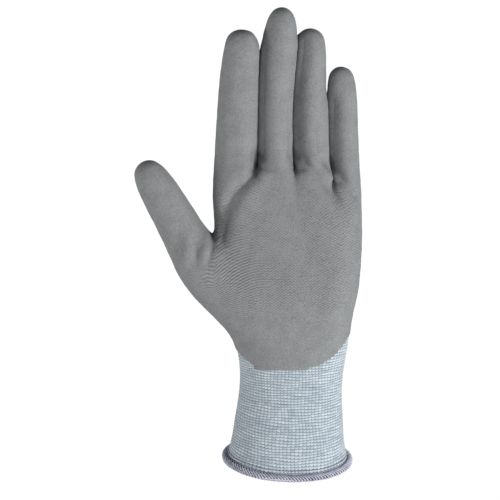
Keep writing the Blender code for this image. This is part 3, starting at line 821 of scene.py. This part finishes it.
def coating_material():
    """Dried polyurethane film: mid grey and matt, with a fine grain and the loops under it, whose
    relief also sets painted highlights on the crowns and painted shade in the grooves.
    """
    material, tree, shader = new_material(
        "dipped_polyurethane", Roughness=0.75, IOR=1.5, Specular_IOR_Level=0.35
    )
    stitches = add_node(tree, "ShaderNodeUVMap", uv_map="stitches")
    split = add_node(tree, "ShaderNodeSeparateXYZ", stitches)
    u, v = split.outputs[0], split.outputs[1]
    solid = add_node(tree, "ShaderNodeTexCoord").outputs["Object"]
    grain = add_node(tree, "ShaderNodeTexNoise", Vector=solid, Scale=FILM_GRAIN / MM, Detail=3.0)
    patches = add_node(tree, "ShaderNodeTexNoise", Vector=solid, Scale=FILM_PATCHES / MM, Detail=4.0)
    # Rows of loops, two legs to a loop
    legs = arches(tree, u, 2)
    leaning = add_node(tree, "ShaderNodeMath", legs, 0.25, v, operation="MULTIPLY_ADD")
    rows = add_node(tree, "ShaderNodeMath", arches(tree, leaning), 0.62, operation="SUBTRACT")
    show = add_node(tree, "ShaderNodeAttribute", attribute_name="rows_show").outputs["Fac"]
    rows = add_node(tree, "ShaderNodeMath", rows, show, operation="MULTIPLY")
    rows = add_node(tree, "ShaderNodeMath", rows, 2.0, operation="MULTIPLY")
    # Mesh of loops that cross, a little out of line
    jitter = add_node(
        tree, "ShaderNodeTexNoise", Vector=solid, Scale=LOOP_UNEVENNESS / MM, Detail=1.0
    )
    uneven = add_node(tree, "ShaderNodeMath", jitter, 0.9, v, operation="MULTIPLY_ADD")
    rightwards = arches(tree, add_node(tree, "ShaderNodeMath", u, uneven, operation="ADD"))
    leftwards = arches(tree, add_node(tree, "ShaderNodeMath", u, uneven, operation="SUBTRACT"))
    mesh = add_node(tree, "ShaderNodeMath", rightwards, leftwards, operation="MULTIPLY")
    mesh = add_node(tree, "ShaderNodeMath", mesh, 0.4, operation="SUBTRACT")
    meshed = add_node(tree, "ShaderNodeAttribute", attribute_name="mesh_shows").outputs["Fac"]
    relief = add_node(tree, "ShaderNodeMath", mesh, meshed, rows, operation="MULTIPLY_ADD")
    relief = add_node(tree, "ShaderNodeMath", legs, 0.12, relief, operation="MULTIPLY_ADD")
    relief = add_node(tree, "ShaderNodeMath", grain, 1.4, relief, operation="MULTIPLY_ADD")
    # Painted highlight and shade: the colour follows the relief, lighter on the loops' crowns and
    # the grain's rises, and darker in the grooves between them.
    painted_relief_light = add_node(tree, "ShaderNodeMath", relief, 0.62, operation="MULTIPLY")
    shade = add_node(tree, "ShaderNodeMath", patches, 0.4, painted_relief_light, operation="MULTIPLY_ADD")
    colour = add_node(tree, "ShaderNodeValToRGB", shade)
    colour.color_ramp.elements[0].position = 0.3
    colour.color_ramp.elements[0].color = linear("#626465")
    colour.color_ramp.elements[1].position = 0.85
    colour.color_ramp.elements[1].color = linear("#858788")
    tree.links.new(colour.outputs[0], shader.inputs["Base Color"])
    bump = add_node(tree, "ShaderNodeBump", Strength=0.55, Distance=0.2 * MM, Height=relief)
    tree.links.new(bump.outputs[0], shader.inputs["Normal"])
    return material


polyurethane = coating_material()
coating_form = rounded_form(4)
shape_form(coating_form)
divide(coating_form)
map_stitches(coating_form.data)
rows_show(coating_form.data)
places, normals = vertex_arrays(coating_form.data)
bare = np.empty(len(places) * 3, np.float32)
coating_form.data.attributes["bare_normal"].data.foreach_get("vector", bare)
bare = bare.reshape(-1, 3)
bare /= np.linalg.norm(bare, axis=1)[:, None]
inside = coated_by(places, bare, digits_of_vertices(coating_form.data))
within = smooth_step(-EDGE_HALF_WIDTH, EDGE_HALF_WIDTH, inside)
rise = -EDGE_SUNK + (COATING_PROUD + EDGE_SUNK) * within
set_places(coating_form.data, places + normals * rise[:, None])
keep_normals(coating_form.data)
near_edge = [inside[list(p.vertices)].max() > -KEPT_PAST_EDGE for p in coating_form.data.polygons]
for part in piece_names:
    if part == "wrist":
        continue
    numbers = [0, 1] if part == "palm" else [piece_names.index(part)]
    coating = part_of(coating_form, numbers, f"{part}_coating_film", near_edge)
    apply_modifier(coating, "film", "SOLIDIFY", thickness=COATING_WALL * MM, **WALL_INWARDS)
    shade_as_whole(coating.data)
    coating.data.materials.append(polyurethane)
    attach(coating, part, "coating")

# Cuff and wrist: the same knitting, left bare, with every loop modelled.
# Rows of loops lie parallel to the hem and run level by the palm. The cuff stays with the forearm;
# the wrist's band runs between cuff and palm.
SAMPLES_ACROSS = 6
SAMPLES_UP = 4
LOOP_HEIGHT = 0.42
# How far the loops wander from straight wales and level courses, in stitches
WALE_WANDERS = 0.22
COURSE_WANDERS = 0.14
# Below this level, the tube runs on straight past the form's open edge
RAY_START = 1.6
CUFF_LOW = -1.6
CUFF_HIGH = 32.0
WRIST_TUCKED_UNDER = 0.6
bare_form = rounded_form(4)
surface = bmesh.new()
surface.from_mesh(bare_form.data)
tube = BVHTree.FromBMesh(surface)
surface.free()
bpy.data.objects.remove(bare_form)
bpy.data.objects.remove(coating_form)


def tube_point(angle, level):
    """The liner's outside at this angle round the wrist and this level above the hem."""
    if level < RAY_START:
        low, high = tube_point(angle, RAY_START), tube_point(angle, 2 * RAY_START)
        return low + (low - high) * (RAY_START - level) / RAY_START
    reach_x, reach_y = WRIST_HALF[0] * math.cos(angle), WRIST_HALF[1] * math.sin(angle)
    share = max(0.0, 1 - level / WRIST_JOIN) ** 2
    outwards = Vector((reach_x, reach_y, 0.0)).normalized()
    centre = Vector((*WRIST_CENTRE, 0.0))
    hit = centre + Vector((reach_x, reach_y, 0.0))
    for _ in range(2):
        height = level + share * hem_slant(hit.x, hit.y)
        start = Vector((centre.x, centre.y, height)) * MM
        found = tube.ray_cast(start, outwards)[0]
        if found is None:
            break
        hit = found / MM
    return hit


def knit_tube(name, low, high):
    """A tube of knitted loops from one level to another, with an inside face, closed all round."""
    columns = WRIST_WALES * SAMPLES_ACROSS
    rows = int(round((high - low) / COURSE * SAMPLES_UP)) + 1
    wales = np.arange(columns) / SAMPLES_ACROSS
    levels = low + (high - low) * np.arange(rows) / (rows - 1)
    angles = np.interp(wales, ELLIPSE_LENGTHS, ELLIPSE_ANGLES)
    grid = np.array([[tube_point(angle, level) for angle in angles] for level in levels])
    around = np.roll(grid, -1, 1) - np.roll(grid, 1, 1)
    upwards = np.gradient(grid, axis=0)
    outwards = np.cross(around, upwards)
    outwards /= np.linalg.norm(outwards, axis=2)[:, :, None]
    u, v = np.meshgrid(wales, levels / COURSE)
    turn = math.tau * u / WRIST_WALES
    u = u + WALE_WANDERS * np.sin(4 * turn + 0.31 * v)
    v = v + COURSE_WANDERS * np.sin(7 * turn - 0.9 * v)
    across = np.abs(np.sin(math.pi * u))
    valley = 1 - 0.15 * np.exp(-(((u % 1 - 0.5) / 0.12) ** 2))
    up = np.abs(np.sin(math.pi * (v + LOOP_SLANT * across)))
    loops = (0.3 + 0.7 * across**0.5) * up**LOOP_FULLNESS * valley
    outer = grid + outwards * (LOOP_HEIGHT * (loops - 0.6))[:, :, None]
    inner = grid - outwards * (LINER_WALL - 0.2 * up)[:, :, None]
    count = columns * rows
    index = np.arange(count).reshape(rows, columns)
    right = np.roll(index, -1, 1)
    outside = np.stack([index[:-1], right[:-1], right[1:], index[1:]], -1).reshape(-1, 4)
    inside = outside[:, ::-1] + count
    bottom = np.stack([index[0] + count, right[0] + count, right[0], index[0]], -1)
    top = np.stack([index[-1], right[-1], right[-1] + count, index[-1] + count], -1)
    faces = np.concatenate([outside, inside, bottom, top])
    mesh = bpy.data.meshes.new(name)
    mesh.vertices.add(2 * count)
    points = np.concatenate([outer.reshape(-1, 3), inner.reshape(-1, 3)])
    mesh.vertices.foreach_set("co", (points * MM).ravel())
    mesh.loops.add(faces.size)
    mesh.loops.foreach_set("vertex_index", faces.ravel())
    mesh.polygons.add(len(faces))
    mesh.polygons.foreach_set("loop_start", np.arange(0, faces.size, 4))
    mesh.update(calc_edges=True)
    us = np.concatenate([u.ravel(), u.ravel()])[faces]
    vs = np.concatenate([v.ravel(), v.ravel()])[faces]
    wraps = (us.max(1) - us.min(1) > WRIST_WALES / 2)[:, None]
    us = np.where(wraps & (us < WRIST_WALES / 2), us + WRIST_WALES, us)
    layer = mesh.uv_layers.new(name="stitches")
    layer.data.foreach_set("uv", np.stack([us, vs], -1).astype(np.float32).ravel())
    mesh.shade_smooth()
    mesh.materials.append(jersey)
    obj = bpy.data.objects.new(name, mesh)
    bpy.context.scene.collection.objects.link(obj)
    return obj


cuff = knit_tube("cuff_knit", CUFF_LOW, CUFF_HIGH)
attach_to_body(cuff, "cuff")
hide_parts("cuff_liner")
wrist = knit_tube("wrist_knit", CUFF_HIGH, WRIST_JOIN + WRIST_TUCKED_UNDER)
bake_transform(wrist)
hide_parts("wrist_liner")

# Overlocked edge: two looper threads wrapped round the raw edge, and the needle thread's seam.
# Soft textured polyester, violet-grey. Each stitch lays a slanting loop of thread over the edge, a
# dark core of painted shade shows between the loops, and the two loopers cross on the rim.
HEM_WIDTH = 3.8
HEM_HEIGHT = 3.8
HEM_STANDS_OUT = 0.8
HEM_DROPS = 2.5
STITCHES = 106
EDGE_LEVEL = 0.05
ABOVE_EDGE = 3.0
LOOPER_THREAD = 0.8
LOOPER_STEPS = 16
LOOPER_LEAN = 0.9
LOOPER_SWELL = 0.05
SMALL_STEPS = 8
# The crossing thread wanders on the rim, outwards and downwards, this far out and up from its edge
CROSSING_THREAD = 0.55
CROSSING_WANDERS = (0.38, 0.2)
CROSSING_OUT = 0.7
CROSSING_UP = 0.2
NEEDLE_THREAD = 0.5
NEEDLE_RISE = 1.0
NEEDLE_PROUD = 0.12
NEEDLE_DIPS = 0.45
# How many to a millimetre: the yarn's fuzz is 0.4 mm, its lighter and darker lengths 2.4 mm
YARN_FUZZ = 2.6
YARN_PATCHES = 0.42


def thread_material(name, light, dark):
    """Textured yarn: matt and soft, with fine fuzz and slightly uneven shade."""
    material, tree, shader = new_material(name, Roughness=0.75, Sheen_Weight=0.3)
    solid = add_node(tree, "ShaderNodeTexCoord").outputs["Object"]
    fuzz = add_node(tree, "ShaderNodeTexNoise", Vector=solid, Scale=YARN_FUZZ / MM, Detail=3.0)
    patches = add_node(tree, "ShaderNodeTexNoise", Vector=solid, Scale=YARN_PATCHES / MM, Detail=2.0)
    both = add_node(tree, "ShaderNodeMath", fuzz, patches, operation="ADD")
    shade = add_node(tree, "ShaderNodeMath", both, 0.5, operation="MULTIPLY")
    colour = add_node(tree, "ShaderNodeValToRGB", shade)
    colour.color_ramp.elements[0].position = 0.35
    colour.color_ramp.elements[0].color = linear(dark)
    colour.color_ramp.elements[1].position = 0.65
    colour.color_ramp.elements[1].color = linear(light)
    tree.links.new(colour.outputs[0], shader.inputs["Base Color"])
    bump = add_node(tree, "ShaderNodeBump", Strength=0.6, Distance=0.1 * MM, Height=fuzz)
    tree.links.new(bump.outputs[0], shader.inputs["Normal"])
    return material


looper_yarn = thread_material("textured_polyester_looper_yarn", "#c3c5d0", "#9193aa")
# Painted shade: a dark copy of the looper yarn's violet-grey, for the shade that falls between the
# loops.
painted_seam_shade = thread_material("painted_shade_in_the_seam", "#45485c", "#2e3142")
needle_yarn = thread_material("textured_polyester_needle_yarn", "#a3a5b5", "#7b7d92")


def edge_frames(count):
    """Points round the raw edge, with the directions outwards and down the cloth."""
    angles = np.interp(np.arange(count) * WRIST_WALES / count, ELLIPSE_LENGTHS, ELLIPSE_ANGLES)
    low = [tube_point(angle, EDGE_LEVEL) for angle in angles]
    high = [tube_point(angle, ABOVE_EDGE) for angle in angles]
    frames = []
    for step in range(count):
        ahead = (low[(step + 1) % count] - low[step - 1]).normalized()
        down = (low[step] - high[step]).normalized()
        outwards = ahead.cross(-down).normalized()
        frames.append((low[step], outwards, down))
    return frames


def thread_curve(name, points, diameter, material, resolution=2):
    """A closed thread through these points, as a mesh."""
    curve = bpy.data.curves.new(name, "CURVE")
    curve.dimensions = "3D"
    curve.bevel_depth = diameter / 2 * MM
    curve.bevel_resolution = resolution
    spline = curve.splines.new("POLY")
    spline.points.add(len(points) - 1)
    spline.use_cyclic_u = True
    for place, point in zip(spline.points, points):
        place.co = (*(point * MM), 1.0)
    obj = bpy.data.objects.new(name, curve)
    bpy.context.scene.collection.objects.link(obj)
    select_only(obj)
    bpy.ops.object.convert(target="MESH")
    obj = bpy.context.view_layer.objects.active
    obj.data.shade_smooth()
    obj.data.materials.clear()
    obj.data.materials.append(material)
    return obj


frames = edge_frames(STITCHES * LOOPER_STEPS)
points = []
for step in range(len(frames)):
    angle = math.tau * step / LOOPER_STEPS
    shift = int(round(LOOPER_STEPS * LOOPER_LEAN * math.sin(angle + 0.5)))
    place, outwards, down = frames[(step + shift) % len(frames)]
    swell = 1.0 + LOOPER_SWELL * math.sin(angle)
    half_width = (HEM_WIDTH - LOOPER_THREAD) / 2 * swell
    half_height = (HEM_HEIGHT - LOOPER_THREAD) / 2 * swell
    sideways = half_width * math.cos(angle) + HEM_STANDS_OUT
    lengthways = half_height * math.sin(angle) + HEM_DROPS
    points.append(place + outwards * sideways + down * lengthways)
loopers = thread_curve("overlock_looper_threads", points, LOOPER_THREAD, looper_yarn)
# A core of painted shade runs inside the looper loops and shows dark between them.
core_points = [p + o * HEM_STANDS_OUT + d * HEM_DROPS for p, o, d in edge_frames(160)]
core_width = HEM_WIDTH - 2.1 * LOOPER_THREAD
core = thread_curve("overlock_painted_shade_core", core_points, core_width, painted_seam_shade, resolution=3)
knots = []
for step, (place, outwards, down) in enumerate(edge_frames(STITCHES * SMALL_STEPS)):
    angle = math.tau * step / SMALL_STEPS
    rim_down = HEM_HEIGHT / 2 + HEM_DROPS - CROSSING_UP
    rim = place + outwards * (HEM_STANDS_OUT + CROSSING_OUT) + down * rim_down
    wander_out = outwards * CROSSING_WANDERS[0] * math.cos(angle)
    wander_down = down * CROSSING_WANDERS[1] * math.sin(angle)
    knots.append(rim + wander_out + wander_down)
crossing = thread_curve("overlock_looper_crossing", knots, CROSSING_THREAD, looper_yarn)
select_only(loopers)
core.select_set(True)
crossing.select_set(True)
bpy.ops.object.join()
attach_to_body(loopers, "cuff")
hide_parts("overlock_binding")

needle_points = []
for step, (place, outwards, down) in enumerate(edge_frames(STITCHES * SMALL_STEPS)):
    dip = NEEDLE_DIPS * math.cos(math.tau * step / SMALL_STEPS)
    needle_points.append(place - down * NEEDLE_RISE + outwards * (NEEDLE_PROUD + dip))
needle = thread_curve("overlock_needle_seam", needle_points, NEEDLE_THREAD, needle_yarn)
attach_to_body(needle, "cuff")
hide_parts("overlock_needle_thread")

# Elastic yarn: covered elastane laid into the wrist's rows on the inside, white and matt.
# It lies among the loops and shows only from inside, in the shape that the frame gives it.
elastic_yarn = thread_material("covered_elastane_yarn", "#d9dcda", "#b9bdbb")
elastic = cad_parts["cuff_elastic_yarn"]
elastic.data.materials.clear()
elastic.data.materials.append(elastic_yarn)

# Studio: a pale floor far below, lit white walls all round, and soft lights from the right, the
# left, below and behind. The ceiling stays dim, so that fingertips and folds keep their shade.
FLOOR_LEVEL = -1.5
FLOOR_RADIUS = 6.0
WALL_RADIUS = 4.5
WALL_HEIGHT = 1.6
ROUND = 96
bpy.context.scene.view_settings.view_transform = "Standard"
world = bpy.data.worlds.new("dim_ceiling")
bpy.context.scene.world = world
world.use_nodes = True
world.node_tree.nodes["Background"].inputs["Color"].default_value = (1, 1, 1, 1)
world.node_tree.nodes["Background"].inputs["Strength"].default_value = 0.15
bpy.ops.object.select_all(action="DESELECT")
bpy.ops.mesh.primitive_circle_add(
    vertices=ROUND,
    radius=FLOOR_RADIUS,
    fill_type="NGON",
    location=(0, 0, FLOOR_LEVEL),
)
floor = bpy.context.active_object
floor.name = "floor"
floor_colour = linear("#f7f7f6")
paint, _, _ = new_material("pale_floor_paint", Roughness=0.9, Base_Color=floor_colour)
floor.data.materials.append(paint)
bpy.ops.mesh.primitive_cylinder_add(
    vertices=ROUND,
    radius=WALL_RADIUS,
    depth=WALL_HEIGHT,
    end_fill_type="NOTHING",
    location=(0, 0, FLOOR_LEVEL + WALL_HEIGHT / 2),
)
wall = bpy.context.active_object
wall.name = "lit_wall"
lit_paint, _, _ = new_material(
    "lit_white_wall",
    Roughness=1.0,
    Base_Color=linear("#000000"),
    Emission_Color=linear("#ffffff"),
    Emission_Strength=1.03,
)
wall.data.materials.append(lit_paint)


def area_light(name, place, target, size, power):
    light = bpy.data.lights.new(name, "AREA")
    light.shape = "DISK"
    light.size = size
    light.energy = power
    obj = bpy.data.objects.new(name, light)
    bpy.context.scene.collection.objects.link(obj)
    obj.location = place
    obj.rotation_euler = (Vector(target) - Vector(place)).to_track_quat("-Z", "Y").to_euler()


area_light("right_soft_light", (1.3, -0.95, 0.12), (0, 0, 0.12), 0.55, 23.0)
area_light("left_soft_light", (-1.5, -0.3, 0.1), (0, 0, 0.12), 0.45, 9.5)
area_light("low_soft_light", (0.4, -1.3, -0.6), (0, 0, 0.08), 0.5, 6.5)
area_light("back_soft_light", (0.5, 1.5, 0.3), (0, 0, 0.12), 0.8, 6.0)

# Camera: square on to the palm side and a little above, far enough away to flatten the depths.
# The frame is a little wider than the glove is tall.
ELEVATION = math.radians(12.0)
DISTANCE = 1.6
FRAME_WIDTH = 0.255
camera_data = bpy.data.cameras.new("camera")
camera_data.sensor_width = 36.0
camera_data.lens = 36.0 * DISTANCE / FRAME_WIDTH
camera_data.clip_start = 0.05
camera = bpy.data.objects.new("camera", camera_data)
bpy.context.scene.collection.objects.link(camera)
target = Vector((-0.0189, -0.010, 0.1101))
camera.location = target + DISTANCE * Vector((0, -math.cos(ELEVATION), math.sin(ELEVATION)))
camera.rotation_euler = (target - camera.location).to_track_quat("-Z", "Y").to_euler()
bpy.context.scene.camera = camera
